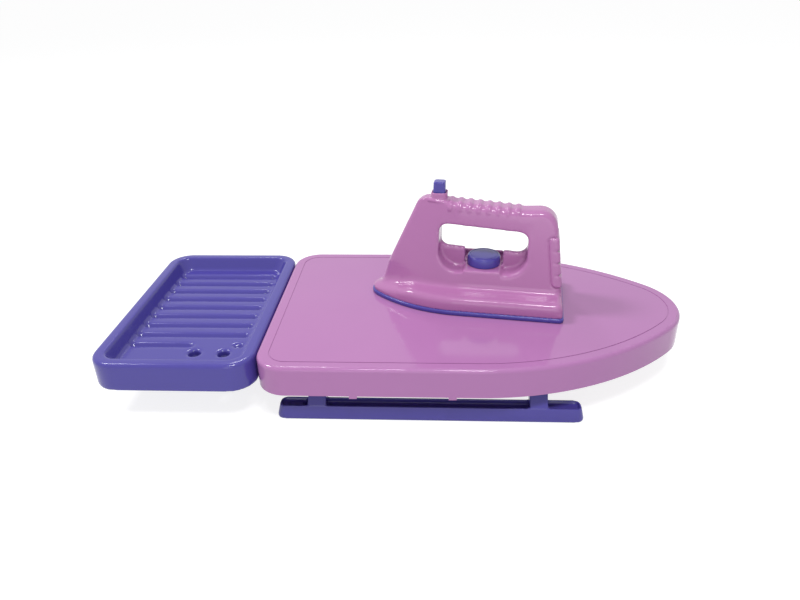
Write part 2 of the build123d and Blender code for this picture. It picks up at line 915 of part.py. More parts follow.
def iron_body():
    """Both halves of the iron's shell as one, in its own frame."""
    form = iron_form(0)
    outside = form + heel_pad() + grip_ridges()
    outside += square_tube(collar_size, collar_corner, neck_low_z, collar_top_z)
    shell = outside - iron_cavity()
    shell += iron_bosses(form) - finger_opening(iron_wall)
    well_outer = well_size + 2 * well_wall
    well = square_tube(well_outer, collar_corner, well_floor_z - well_wall, neck_low_z + well_wall)
    shell += well & form
    dial_boss_low = (dial_x, 0, dial_seat_z - dial_boss_depth)
    shell += rod(dial_boss_low, (dial_x, 0, dial_seat_z), dial_boss_radius)
    shell -= iron_openings()
    shell -= heel_grooves()
    shell -= square_tube(well_size, button_corner, well_floor_z, neck_low_z)
    hole = button_size + 2 * button_fit
    shell -= square_tube(hole, button_corner, neck_low_z - overrun, collar_top_z + overrun)
    stem_hole = dial_stem_radius + running_clearance
    shell -= rod((dial_x, 0, 0), (dial_x, 0, dial_seat_z + overrun), stem_hole)
    return shell - iron_screw_holes()


def half_space(sign):
    """A box that holds everything of the iron on one side of its middle plane."""
    far = sign * sole_length
    return block(
        (-overrun, min(0, far), 0),
        (sole_length + overrun, max(0, far), board_length),
    )


def sole_plate():
    """The iron's purple sole, with a rim that stands inside the band and its screw holes."""
    plate = slab(sole_face(0), 0, sole_thickness)
    plate = fillet(low_edges(plate, 0), sole_edge_round)
    inset = sole_lip + iron_wall + sole_rim_fit
    rim = sole_face(inset) - sole_face(inset + sole_rim_wall)
    plate += slab(rim, sole_thickness, sole_thickness + sole_rim_height)
    for x, y in sole_screw_places:
        for sign in (-1, 1):
            seat = (x, sign * y, sole_screw_base_z)
            top = (x, sign * y, sole_thickness + overrun)
            plate -= rod((x, sign * y, -overrun), seat, screw_head_radius + screw_clearance)
            plate -= rod((x, sign * y, 0), top, screw_radius + screw_clearance)
    return plate


def sole_screws():
    """Four screws up through the sole."""
    screws = Part()
    for x, y in sole_screw_places:
        for sign in (-1, 1):
            screws += Pos(x, sign * y, sole_screw_base_z) * screw(sole_screw_length)
    return screws


def iron_screws():
    """Four screws across the iron from its far side."""
    screws = Part()
    for x, z in iron_screw_places:
        screws += Pos(x, -iron_screw_reach, z) * (Rot(-90, 0, 0) * screw(iron_screw_length))
    return screws


def dial():
    """The purple dial with a ring on its top and a stem down through its seat."""
    low_z = dial_seat_z + dial_gap
    top_z = low_z + dial_thickness
    disc = rod((dial_x, 0, low_z), (dial_x, 0, top_z), dial_radius)
    disc = fillet(low_edges(disc, top_z), dial_round)
    ring_outer = dial_radius - dial_ring_inset
    floor = (dial_x, 0, top_z - dial_ring_depth)
    above = (dial_x, 0, top_z + overrun)
    ring = rod(floor, above, ring_outer) - rod(floor, above, ring_outer - dial_ring_width)
    stem_low = (dial_x, 0, stem_low_z)
    stem = rod(stem_low, (dial_x, 0, low_z), dial_stem_radius)
    screw_hole = rod(
        (dial_x, 0, stem_low_z - overrun),
        (dial_x, 0, stem_low_z - dial_washer_thickness + dial_screw_length + screw_clearance),
        screw_radius + screw_clearance,
    )
    return disc - ring + stem - screw_hole


def dial_washer():
    """The washer that keeps the dial's stem from lifting out."""
    low = (dial_x, 0, stem_low_z - dial_washer_thickness)
    washer = rod(low, (dial_x, 0, stem_low_z), dial_washer_radius)
    return washer - rod((dial_x, 0, 0), (dial_x, 0, dial_seat_z), screw_radius + screw_clearance)


def dial_screw():
    """The screw up into the dial's stem."""
    return Pos(dial_x, 0, stem_low_z - dial_washer_thickness) * screw(dial_screw_length)


def steam_button():
    """The purple button, with the flange that stops it in the neck and a pin for its spring."""
    low_z = neck_low_z - flange_gap - flange_height
    head = square_tube(button_size, button_corner, low_z, button_top_z)
    head = fillet(low_edges(head, button_top_z), button_top_round)
    flange = square_tube(flange_size, button_corner, low_z, low_z + flange_height)
    pin = rod((button_x, 0, low_z - pin_length), (button_x, 0, low_z), pin_radius)
    return head + flange + pin


def button_spring():
    """The coil spring between the well's floor and the button's flange."""
    low_z = well_floor_z + spring_end_gap + spring_wire_radius
    high_z = neck_low_z - flange_gap - flange_height - spring_end_gap - spring_wire_radius
    height = high_z - low_z
    path = Helix(height / spring_turns, height, spring_radius)
    section = Plane(origin=path @ 0, z_dir=path % 0) * Circle(spring_wire_radius)
    coil = sweep(section, path)
    return Pos(button_x, 0, low_z) * coil


def placed(piece):
    """A piece of the iron set down on the board where the iron stands."""
    turn = math.radians(iron_turn)
    heel_x = board_end_x + iron_tip_from_end + sole_length * math.cos(turn)
    heel_y = board_front_y + iron_tip_from_front - sole_length * math.sin(turn)
    return Pos(heel_x, heel_y, board_top_z) * (Rot(0, 0, 180 - iron_turn) * piece)


def main():
    os.makedirs("parts", exist_ok=True)
    body = iron_body()
    pieces = {
        "board_shell": board_shell(),
        "tray": tray(),
        "front_leg": leg_rail(),
        "rear_leg": mirrored(leg_rail()),
        "front_hinge_rod": hinge_rod(),
        "rear_hinge_rod": mirrored(hinge_rod()),
        "rod_nuts": rod_nuts(),
        "cap_screws": cap_screws(),
        "iron_near_half": placed(body & half_space(1)),
        "iron_far_half": placed(body & half_space(-1)),
        "sole_plate": placed(sole_plate()),
        "sole_screws": placed(sole_screws()),
        "iron_screws": placed(iron_screws()),
        "dial": placed(dial()),
        "dial_washer": placed(dial_washer()),
        "dial_screw": placed(dial_screw()),
        "steam_button": placed(steam_button()),
        "button_spring": placed(button_spring()),
    }
    for end, x in zip(("tray_end", "nose_end"), block_centres()):
        pieces["front_cap_" + end] = hinge_cap(x)
        pieces["rear_cap_" + end] = mirrored(hinge_cap(x))
    for name, piece in pieces.items():
        export_step(piece, "parts/" + name + ".step")


main()
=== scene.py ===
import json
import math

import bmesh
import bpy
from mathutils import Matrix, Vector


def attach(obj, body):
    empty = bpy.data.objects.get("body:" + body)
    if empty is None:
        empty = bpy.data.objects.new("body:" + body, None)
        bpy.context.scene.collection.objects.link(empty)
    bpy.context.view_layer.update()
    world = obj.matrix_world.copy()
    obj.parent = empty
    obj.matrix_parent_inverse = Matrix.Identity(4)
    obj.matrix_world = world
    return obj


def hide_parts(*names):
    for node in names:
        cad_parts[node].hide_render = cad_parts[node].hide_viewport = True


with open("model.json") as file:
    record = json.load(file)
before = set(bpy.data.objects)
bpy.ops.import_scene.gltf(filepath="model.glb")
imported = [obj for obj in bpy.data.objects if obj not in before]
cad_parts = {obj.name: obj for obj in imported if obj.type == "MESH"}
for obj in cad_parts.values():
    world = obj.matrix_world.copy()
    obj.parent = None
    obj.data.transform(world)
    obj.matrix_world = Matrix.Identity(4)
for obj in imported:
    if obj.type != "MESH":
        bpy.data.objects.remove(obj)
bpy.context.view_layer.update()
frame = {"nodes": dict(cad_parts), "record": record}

# %% [markdown]
# # A toy ironing board with its tray and iron
# The solids of the toy are loaded above as a fixed frame. Each one already stands in its real
# place, in metres, with +X towards the board's nose, +Y to the rear and +Z up. This lesson
# gives every visible piece its moulded shape and its plastic, and then sets up the light and
# the camera.


# %% [markdown]
# ## Glossy moulded plastic
# The toy is injection-moulded plastic: an even colour that drifts very slightly, where the melt
# flowed, and a gloss that is broken by the finest waves and rubbed spots. A flat colour would
# look like paint on paper. Three noise patterns on Object coordinates do the work: a wide one
# for the colour, a middle one for the roughness and a fine one for the bump.

# %% Link two sockets


def join(material, source, out_name, target, in_name):
    """Links an output socket to an input socket, both given by name."""
    material.node_tree.links.new(source.outputs[out_name], target.inputs[in_name])


# %% A noise pattern


def noise(material, coordinates, scale, detail):
    """A noise pattern on Object coordinates, with its scale in features per metre."""
    node = material.node_tree.nodes.new("ShaderNodeTexNoise")
    node.inputs["Scale"].default_value = scale
    node.inputs["Detail"].default_value = detail
    join(material, coordinates, "Object", node, "Vector")
    return node


# %% Map a pattern onto a range


def spread(material, source, out_name, low, high):
    """Maps a pattern's 0 to 1 onto a range of values."""
    node = material.node_tree.nodes.new("ShaderNodeMapRange")
    node.inputs["To Min"].default_value = low
    node.inputs["To Max"].default_value = high
    join(material, source, out_name, node, "Value")
    return node


# %% Start a material


def new_material(name):
    """A new material, its main shader and its texture coordinates."""
    material = bpy.data.materials.new(name)
    material.use_nodes = True
    shader = material.node_tree.nodes["Principled BSDF"]
    coordinates = material.node_tree.nodes.new("ShaderNodeTexCoord")
    return material, shader, coordinates


# %% The plastic's patterns
flow_scale, flow_detail = 9.0, 3.0
rubbed_scale, rubbed_detail = 70.0, 6.0
wave_detail, wave_strength, wave_height = 2.0, 0.05, 0.0002
drift_low, drift_high = -0.4, 1.4
less_rough, more_rough = 0.03, 0.05

# %% The plastic itself


def moulded_plastic(name, colour, deep_colour, gloss, waves, sheen):
    """A glossy plastic whose colour drifts between two close tones."""
    material, shader, coordinates = new_material(name)
    nodes = material.node_tree.nodes

    flow = noise(material, coordinates, flow_scale, flow_detail)
    tones = nodes.new("ShaderNodeMix")
    tones.data_type = "RGBA"
    tones.inputs["A"].default_value = (*colour, 1.0)
    tones.inputs["B"].default_value = (*deep_colour, 1.0)
    drift = spread(material, flow, "Fac", drift_low, drift_high)
    join(material, drift, "Result", tones, "Factor")
    join(material, tones, "Result", shader, "Base Color")

    rubbed = noise(material, coordinates, rubbed_scale, rubbed_detail)
    roughness = spread(material, rubbed, "Fac", gloss - less_rough, gloss + more_rough)
    join(material, roughness, "Result", shader, "Roughness")

    fine = noise(material, coordinates, waves, wave_detail)
    bump = nodes.new("ShaderNodeBump")
    bump.inputs["Strength"].default_value = wave_strength
    bump.inputs["Distance"].default_value = wave_height
    join(material, fine, "Fac", bump, "Height")
    join(material, bump, "Normal", shader, "Normal")
    shader.inputs["Specular IOR Level"].default_value = sheen
    return material


# %% The toy's three plastics
pan_pink = moulded_plastic(
    "pan_pink", (0.42, 0.178, 0.405), (0.40, 0.168, 0.39), 0.10, 60.0, 0.36
)
iron_pink = moulded_plastic(
    "iron_pink", (0.42, 0.165, 0.375), (0.40, 0.155, 0.36), 0.12, 80.0, 0.4
)
tray_purple = moulded_plastic(
    "tray_purple", (0.072, 0.058, 0.32), (0.065, 0.052, 0.305), 0.15, 60.0, 0.4
)
print("plastics", [m.name for m in (pan_pink, iron_pink, tray_purple)])

# %% [markdown]
# ## Plated steel
# The hinge rods, nuts, screws and washer are small steel parts with a thin bright plating.
# Metallic is 1, and a fine noise stretched along one direction gives the drawn look.

# %% The steel
steel_grey = (0.62, 0.62, 0.64, 1.0)
drawn_out = (0.05, 1.0, 1.0)
drawn_lines = 900.0
smoothest_steel, roughest_steel = 0.22, 0.42


def plated_steel(name):
    """Bright metal whose roughness varies in fine drawn lines."""
    material, shader, coordinates = new_material(name)
    shader.inputs["Metallic"].default_value = 1.0
    shader.inputs["Base Color"].default_value = steel_grey
    stretch = material.node_tree.nodes.new("ShaderNodeMapping")
    stretch.inputs["Scale"].default_value = drawn_out
    join(material, coordinates, "Object", stretch, "Vector")
    lines = material.node_tree.nodes.new("ShaderNodeTexNoise")
    lines.inputs["Scale"].default_value = drawn_lines
    join(material, stretch, "Vector", lines, "Vector")
    roughness = spread(material, lines, "Fac", smoothest_steel, roughest_steel)
    join(material, roughness, "Result", shader, "Roughness")
    return material


steel = plated_steel("plated_steel")
print("metal", steel.name)

# %% [markdown]
# ## Dressing the solids
# A solid that already has its right shape keeps it, and only takes a better finish. Here each
# node's name is looked up in a short table of finishes.

# %% Give every node its finish
finishes = {
    "pink_shell": pan_pink,
    "pink_iron": iron_pink,
    "purple_plastic": tray_purple,
    "steel": steel,
}
for subpart in frame["record"]["subparts"]:
    node = frame["nodes"][subpart["node"]]
    node.data.materials.clear()
    node.data.materials.append(finishes[subpart["material_slot"]])
print("dressed", len(frame["nodes"]), "nodes")

# %% [markdown]
# ## Soft edges on moulded shells
# Plastic never leaves a mould with knife edges: every corner of the iron and the tray is rolled
# over by a millimetre or more, and the hollows flow into the walls. Each edge could be bevelled
# one by one, but these shells have hundreds of short edges where curved walls meet, and bevels
# collide there. So a merged copy of the solid is rebuilt from small even cells and then relaxed,
# which rounds every edge alike. Chosen regions are relaxed further, where the real toy is softer.

# %% Merge copies of solids into one mesh
join_distance = 2e-6


def merged_copy(*nodes):
    """One mesh with copies of the named solids, their loose triangles joined."""
    bm = bmesh.new()
    for name in nodes:
        bm.from_mesh(frame["nodes"][name].data)
    bmesh.ops.remove_doubles(bm, verts=bm.verts, dist=join_distance)
    return bm


# %% Turn a bmesh into an object of the scene


def stood_up(bm, name):
    """Puts a finished bmesh into the scene as a smooth object."""
    bmesh.ops.recalc_face_normals(bm, faces=bm.faces)
    for face in bm.faces:
        face.smooth = True
    mesh = bpy.data.meshes.new(name)
    bm.to_mesh(mesh)
    bm.free()
    piece = bpy.data.objects.new(name, mesh)
    bpy.context.scene.collection.objects.link(piece)
    return piece


# %% Rebuild a form from even cells


def even_cells(bm, cell):
    """The same form, rebuilt from square cells of one size."""
    holder = stood_up(bm, "cells")
    rebuild = holder.modifiers.new("rebuild", "REMESH")
    rebuild.mode = "VOXEL"
    rebuild.voxel_size = cell
    shaped = holder.evaluated_get(bpy.context.evaluated_depsgraph_get())
    rebuilt = bmesh.new()
    rebuilt.from_mesh(shaped.data)
    old_mesh = holder.data
    bpy.data.objects.remove(holder)
    bpy.data.meshes.remove(old_mesh)
    return rebuilt


# %% Relax a region


def relax(bm, rounds, inside=None):
    """Rounds edges off by moving each vertex towards its neighbours, again and again."""
    verts = [vert for vert in bm.verts if inside is None or inside(vert.co)]
    for _ in range(rounds):
        bmesh.ops.smooth_vert(
            bm, verts=verts, factor=0.5, use_axis_x=True, use_axis_y=True, use_axis_z=True
        )
    return len(verts)


# %% [markdown]
# ## The iron's shell
# The iron is moulded in two halves that meet on its middle plane. Both halves are joined into
# one form for the rebuilding, so that the seam between them stays tight, and parted again at the
# end. The iron stands a little askew on the board, so its regions are measured in its own
# directions: from the heel towards the tip (s), from the middle towards the near side (v), and
# up from the board (z), all in millimetres.

# %% The iron's own directions
iron_heel = Vector((0.1639866, 0.0022216, 0.0614))
iron_turn = math.radians(8.4)
to_tip = Vector((-math.cos(iron_turn), math.sin(iron_turn), 0.0))
to_near = Vector((-math.sin(iron_turn), -math.cos(iron_turn), 0.0))
dial_axis_s, button_axis_s = 81.4, 127.0
millimetre = 0.001


def on_iron(co):
    """Millimetres from the heel, from the middle plane and up from the board."""
    step = (co - iron_heel) / millimetre
    return step.dot(to_tip), step.dot(to_near), step.z


print("the iron points along", [round(number, 3) for number in to_tip])

# %% [markdown]
# Behind the dial the photograph shows a low wall, which stops a child's finger there. It is a
# short bar on the far edge of the dial's seat, and it is melted into the form by the rebuilding.

# %% Join the halves
iron_form = merged_copy("iron_near_half", "iron_far_half")
parting_faces = [
    face
    for face in iron_form.faces
    if all(abs((vert.co - iron_heel).dot(to_near)) < 2 * join_distance for vert in face.verts)
]
print("faces on the middle plane", len(parting_faces))
bmesh.ops.delete(iron_form, geom=parting_faces, context="FACES")

# %% Points and bars in the iron's own directions
iron_axes = Matrix((to_tip, to_near, Vector((0.0, 0.0, 1.0)))).transposed().to_4x4()


def iron_point(s, v, z):
    """The world place of a point given in the iron's own directions, in millimetres."""
    return iron_heel + millimetre * (s * to_tip + v * to_near + Vector((0.0, 0.0, z)))


def iron_bar(bm, low, high):
    """A box between two corners in the iron's own directions."""
    middle = [(a + b) / 2 for a, b in zip(low, high)]
    size = Matrix.Diagonal([millimetre * (b - a) for a, b in zip(low, high)]).to_4x4()
    place = Matrix.Translation(iron_point(*middle)) @ iron_axes @ size
    bmesh.ops.create_cube(bm, size=1.0, matrix=place)


# %% Add the wall and rebuild the shell
iron_cell = 0.85 * millimetre
wall_low_corner, wall_high_corner = (59.5, -20.7, 34.0), (103.3, -17.3, 45.2)
iron_bar(iron_form, wall_low_corner, wall_high_corner)
iron_form = even_cells(iron_form, iron_cell)
print("iron cells", len(iron_form.faces))

# %% [markdown]
# The band round the foot of the iron rolls over into a ledge, and the ledge sweeps up into the
# tall sides. The hollow at the heel end of the handle has no edge at all, while the one round
# the dial keeps a crisp rim. The underside of the band stays as it is, to sit on the sole. Near
# the tip the band gets lower, until the front slope runs almost straight down to the sole, and
# the handle's underside hangs a little lower, which leaves the opening less tall.

# %% How much each place is lowered
tip_drop, grip_drop = 9.0 * millimetre, 1.7 * millimetre
drop_starts_s, drop_run, ledge_z, ledge_reach = 150.0, 38.0, 20.0, 13.0
grip_starts_s, grip_ends_s, grip_run = 34.0, 132.0, 8.0
grip_under_z, grip_rise, grip_reach = 77.9, 0.061, 9.0


def between_0_and_1(number):
    return min(max(number, 0.0), 1.0)


def drop_share(s, z):
    """Grows towards the tip, and is most at the ledge's height."""
    towards_tip = between_0_and_1((s - drop_starts_s) / drop_run)
    return towards_tip * max(1.0 - abs(z - ledge_z) / ledge_reach, 0.0)


def grip_share(s, z):
    """Most at the underside of the handle, nothing at its ends and at the ridges."""
    along = between_0_and_1(min(s - grip_starts_s, grip_ends_s - s) / grip_run)
    underside_z = grip_under_z + grip_rise * s
    return along * max(1.0 - abs(z - underside_z) / grip_reach, 0.0)


# %% Lower the band towards the tip, and the handle's underside
lowered = 0
for vert in iron_form.verts:
    s, _, z = on_iron(vert.co)
    drop = tip_drop * drop_share(s, z) + grip_drop * grip_share(s, z)
    vert.co.z -= drop
    lowered += drop > 0.0
print("lowered points", lowered)

# %% The iron's regions
no_limit = 999.0  # millimetres, further than any point of the iron
ridges = (46.0, 120.0, 0.0, 91.0, no_limit)
# low s, high s, least distance from the middle, low z, high z, rounds
soft_regions = {
    "shoulder": (-no_limit, no_limit, 0.0, 8.0, 25.0, 50),
    "tip": (165.0, no_limit, 0.0, 8.0, 36.0, 70),
    "heel hollow": (34.0, 64.0, 8.0, 30.0, 54.0, 40),
    "front hollow": (106.0, 132.0, 8.0, 28.0, 54.0, 25),
    "dial hollow": (60.0, 104.0, 5.0, 34.0, 54.0, 2),
    "opening": (34.0, 130.0, 0.0, 48.0, 92.0, 12),
    "front slope": (126.0, no_limit, 0.0, 22.0, 102.0, 10),
    "front top": (121.0, no_limit, 0.0, 80.0, 102.0, 12),
}


def within(co, low_s, high_s, least_v, low_z, high_z):
    """Whether a point of the iron lies in a region."""
    s, v, z = on_iron(co)
    return low_s < s < high_s and abs(v) >= least_v and low_z < z < high_z


# %% Soften the iron's regions
above_foot_z = 6.0
relax(iron_form, 4, lambda co: on_iron(co)[2] > above_foot_z and not within(co, *ridges))
relax(iron_form, 2, lambda co: within(co, *ridges))
for name, (*limits, rounds) in soft_regions.items():
    count = relax(iron_form, rounds, lambda co: within(co, *limits))
    print(name, "relaxed", rounds, "times at", count, "points")

# %% [markdown]
# A narrow channel runs round the pad at the heel, so that the pad looks like a cushion let into
# the shell. The points near the pad's outline are sunk along their normals, with a smooth
# profile across the channel, and so are three notches across the back of the pad.

# %% The pad's outline
pad_low_z, pad_high_z, pad_length, pad_corner = 28.0, 75.0, 10.5, 4.0
heel_foot_s, heel_foot_z, heel_lean = 1.7, 20.5, 0.134


def heel_line(z):
    """The place of the pad's back face at a height."""
    return heel_foot_s + heel_lean * (z - heel_foot_z)


def pad_distance(s, z):
    """Millimetres from the pad's outline, more than zero outside it."""
    across = s - heel_line(z) - pad_length + pad_corner
    upright = max(pad_low_z - z, z - pad_high_z) + pad_corner
    outside = math.hypot(max(across, 0.0), max(upright, 0.0))
    return outside + min(max(across, upright), 0.0) - pad_corner


def swell(distance, width):
    """1 at no distance, falling smoothly to nothing beyond the width."""
    return math.exp(-((distance / width) ** 2))


# %% Sink a channel round the heel pad
channel_depth, channel_off_pad, channel_width = 1.0 * millimetre, 1.1, 0.8
notch_depth, notch_width, notch_reach = 1.6 * millimetre, 1.1, 4.5
notch_heights = (39.75, 51.5, 63.25)
heel_zone = (-no_limit, 30.0, 0.0, 20.0, 85.0)
facing = 0.3
iron_form.normal_update()
sunk = 0
for vert in iron_form.verts:
    if not within(vert.co, *heel_zone):
        continue
    s, v, z = on_iron(vert.co)
    facing_out = vert.normal.dot(to_near) * (1 if v > 0 else -1) > facing
    facing_back = vert.normal.dot(to_tip) < -facing
    if facing_out or facing_back:
        channel = swell(pad_distance(s, z) - channel_off_pad, channel_width)
        notch = max(swell(z - height, notch_width) for height in notch_heights)
        notch *= swell(max(s - heel_line(z), 0.0), notch_reach)
        vert.co -= vert.normal * (channel_depth * channel + notch_depth * notch)
        sunk += 1
print("points looked at round the pad", sunk)

# %% [markdown]
# The collar round the steam button flares a little, so its points are drawn out from the
# button's axis. The hole in it widens with it.

# %% Flare the button's collar
collar_flare, collar_low_z, collar_reach = 0.08, 103.0, 10.0
flared = 0
for vert in iron_form.verts:
    s, v, z = on_iron(vert.co)
    at_collar = abs(s - button_axis_s) < collar_reach and abs(v) < collar_reach
    if at_collar and z > collar_low_z:
        outwards = vert.co - iron_point(button_axis_s, 0.0, z)
        vert.co += outwards * collar_flare * min(z - collar_low_z, 1.0)
        flared += 1
print("flared points", flared)

# %% Part the halves again


def half_iron(form, side, name):
    """The near half (side 1) or the far half (side -1), closed along the middle plane."""
    half = form.copy()
    cut = bmesh.ops.bisect_plane(
        half,
        geom=half.verts[:] + half.edges[:] + half.faces[:],
        plane_co=iron_heel,
        plane_no=-side * to_near,
        clear_outer=True,
    )
    cut_edges = [item for item in cut["geom_cut"] if isinstance(item, bmesh.types.BMEdge)]
    filled = bmesh.ops.triangle_fill(half, edges=cut_edges, use_dissolve=False)
    print(name, "rim edges", len(cut_edges), "filled with", len(filled["geom"]))
    return stood_up(half, name)


near_half = half_iron(iron_form, 1, "near_half_of_shell")
far_half = half_iron(iron_form, -1, "far_half_of_shell")
iron_form.free()

# %% Seat the two halves
sharp_turn = math.radians(50.0)
for piece, node in ((near_half, "iron_near_half"), (far_half, "iron_far_half")):
    piece.data.set_sharp_from_angle(angle=sharp_turn)
    piece.data.materials.append(iron_pink)
    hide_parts(node)
    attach(piece, "iron")
    print(piece.name, "stands for", node)

# %% [markdown]
# ## The iron's sole
# The sole is a purple plate whose side bulges a little, and the pink band sits on top of it.
# Its edges are rolled over by the same rebuilding as the shell's.

# %% The sole
sole_cell = 0.8 * millimetre
sole_form = even_cells(merged_copy("sole_plate"), sole_cell)
relax(sole_form, 3)
sole = stood_up(sole_form, "iron_sole")
print("sole faces", len(sole.data.polygons))

# %% [markdown]
# ## The dial
# The dial is a turned shape, so its outline is drawn once, from the foot of its stem to the
# middle of its slightly domed top, and spun round its axis. The side narrows upwards to leave
# the mould, and a fine ring is cut near the edge of the top.

# %% Spin a closed outline round an upright axis


def spun(bm, outline, centre, steps):
    """Spins points given as (radius, height) in millimetres round the centre."""
    verts = []
    for radius, height in outline:
        verts.append(bm.verts.new(centre + Vector((radius, 0.0, height)) * millimetre))
    edges = [bm.edges.new(pair) for pair in zip(verts, verts[1:])]
    bmesh.ops.spin(
        bm, geom=verts + edges, cent=centre, axis=(0.0, 0.0, 1.0),
        angle=math.tau, steps=steps, use_merge=True, use_duplicate=False,
    )
    bmesh.ops.remove_doubles(bm, verts=bm.verts, dist=join_distance)


# %% The dial's outline
dial_outline = [
    (0.0, 38.95), (1.55, 38.95), (1.55, 33.4), (3.5, 33.4), (3.5, 39.0), (16.2, 39.0),
    (16.6, 39.2), (16.7, 39.7), (16.6, 43.0), (16.5, 45.6), (16.3, 46.8), (15.8, 47.8),
    (15.0, 48.4), (14.2, 48.6), (13.9, 48.6), (13.7, 48.25), (13.3, 48.2), (13.0, 48.55),
    (12.4, 48.65), (8.0, 48.8), (4.0, 48.88), (0.0, 48.9),
]
dial_steps = 96
dial_form = bmesh.new()
spun(dial_form, dial_outline, iron_point(dial_axis_s, 0.0, 0.0), dial_steps)
dial = stood_up(dial_form, "turned_dial")
print("dial faces", len(dial.data.polygons))

# %% [markdown]
# ## The steam button
# The button is a square post with round corners. It starts as the flange that holds it inside
# the neck, whose top face is drawn in and pulled up, and the pulled part narrows towards its
# top. A round pin under the flange holds the spring. The rebuilding rolls its edges over.

# %% The button's flange
flange_half, flange_low_z, flange_high_z = 6.7, 101.9, 103.9
button_corner = 3.2 * millimetre
button_form = bmesh.new()
iron_bar(
    button_form,
    (button_axis_s - flange_half, -flange_half, flange_low_z),
    (button_axis_s + flange_half, flange_half, flange_high_z),
)
upright = [
    edge for edge in button_form.edges
    if abs(edge.verts[0].co.z - edge.verts[1].co.z) > millimetre
]
bmesh.ops.bevel(
    button_form, geom=upright, offset=button_corner, offset_type="OFFSET",
    affect="EDGES", segments=5, profile=0.5, material=-1,
)
print("flange faces", len(button_form.faces))

# %% Pull the button's post up from the flange
post_inset, post_top_z, post_taper = 0.5 * millimetre, 122.2, 0.07
top = max(button_form.faces, key=lambda face: face.calc_center_median().z)
bmesh.ops.inset_region(button_form, faces=[top], thickness=post_inset)
pulled = bmesh.ops.extrude_face_region(button_form, geom=[top])
bmesh.ops.delete(button_form, geom=[top], context="FACES_ONLY")
head_centre = iron_point(button_axis_s, 0.0, post_top_z)
for item in pulled["geom"]:
    if isinstance(item, bmesh.types.BMVert):
        item.co.z = head_centre.z
        item.co += (head_centre - item.co) * post_taper
print("post top", round(head_centre.z, 4), "m above the floor")

# %% Add the pin and round the button off
pin_outline = [(0.0, 102.4), (2.2, 102.4), (2.2, 96.3), (1.8, 95.9), (0.0, 95.9)]
pin_steps, button_cell, head_low_z = 32, 0.35 * millimetre, 118.0
spun(button_form, pin_outline, iron_point(button_axis_s, 0.0, 0.0), pin_steps)
button_form = even_cells(button_form, button_cell)
relax(button_form, 8)
relax(button_form, 25, lambda co: on_iron(co)[2] > head_low_z)
button = stood_up(button_form, "pressed_button")
print("button faces", len(button.data.polygons))

# %% Seat the iron's purple pieces
for piece, node, body in (
    (sole, "sole_plate", "iron"),
    (dial, "dial", "dial"),
    (button, "steam_button", "steam_button"),
):
    piece.data.set_sharp_from_angle(angle=sharp_turn)
    piece.data.materials.append(tray_purple)
    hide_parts(node)
    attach(piece, body)
    print(piece.name, "stands for", node)

# %% [markdown]
# ## The tray
# The tray is one thin moulding: a rim rolled over on both sides, sloping walls, and a floor
# with shallow channels where things can dry. Between the channels the floor swells up like
# cushions, so it is relaxed more than the rim. The cells are just small enough for the
# channels, and large enough to keep the piece under 200,000 triangles.

# %% The tray
tray_cell = 1.25 * millimetre
floor_low_x, floor_high_x, floor_half_y = -0.266, -0.139, 0.108
floor_low_z, floor_high_z = 0.040, 0.0515
tray_form = even_cells(merged_copy("tray"), tray_cell)


def on_tray_floor(co):
    inside_x = floor_low_x < co.x < floor_high_x
    return inside_x and abs(co.y) < floor_half_y and floor_low_z < co.z < floor_high_z


print("tray cells", len(tray_form.faces))
print("tray relaxed at", relax(tray_form, 5), "points")
print("tray's floor relaxed at", relax(tray_form, 2, on_tray_floor), "points")

# %% [markdown]
# Each channel has a narrow crease along its middle and ends in a small round pit on the side
# towards the board. The floor's points are pressed down there, upper and lower side alike, so
# that the wall keeps its thickness.

# %% Where the creases and pits are
channel_low_x, channel_high_x = -0.2595, -0.1517
first_channel_y, channel_step, channel_count = -0.0630, 0.0187, 9
# the first channel is broken by a flat place between these two
flat_low_x, flat_high_x = -0.1997, -0.1577
crease_depth, crease_width = 1.4 * millimetre, 1.8 * millimetre
pit_depth, pit_width = 4.4 * millimetre, 2.2 * millimetre
pit_centre_x = channel_high_x - 0.5 * millimetre


def pressed(x, y):
    """How deep a point of the floor is pressed down."""
    number = round((y - first_channel_y) / channel_step)
    number = min(max(number, 0), channel_count - 1)
    from_line = y - first_channel_y - channel_step * number
    to_end = max(channel_low_x - x, x - channel_high_x, 0.0)
    if number == 0 and flat_low_x < x < flat_high_x:
        to_end = min(x - flat_low_x, flat_high_x - x)
    crease = crease_depth * swell(math.hypot(from_line, to_end), crease_width)
    pit = pit_depth * swell(math.hypot(from_line, x - pit_centre_x), pit_width)
    return max(crease, pit)


# %% Press the creases and pits
for vert in tray_form.verts:
    if on_tray_floor(vert.co):
        vert.co.z -= pressed(vert.co.x, vert.co.y)
relax(tray_form, 2, on_tray_floor)
tray = stood_up(tray_form, "grooved_tray")
tray.data.materials.append(tray_purple)
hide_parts("tray")
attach(tray, "tray")
print("tray faces", len(tray.data.polygons))

# %% [markdown]
# ## The leg rails
# Each leg rail is an open channel for a foot with two posts, moulded in one piece. Its edges are
# softened in the same way, most of all at the foot's ends. The photograph looks into a shallow
# hollow, shallower still beyond the posts, so bars are melted in to raise its floor. The
# knuckles at the top, which turn on the steel rod, are rebuilt from cells but not relaxed.

# %% The parts of a rail that are softened
knuckles_low_z = 0.040
foot_middle_x, foot_half_length, foot_end_length = 0.0296, 0.1408, 0.009


def below_knuckles(co):
    return co.z < knuckles_low_z


def at_foot_end(co):
    return abs(co.x - foot_middle_x) > foot_half_length - foot_end_length


# %% A level bar


def level_bar(bm, low, high):
    """A box between two corners given in metres."""
    middle = [(a + b) / 2 for a, b in zip(low, high)]
    size = Matrix.Diagonal([abs(b - a) for a, b in zip(low, high)]).to_4x4()
    bmesh.ops.create_cube(bm, size=1.0, matrix=Matrix.Translation(middle) @ size)


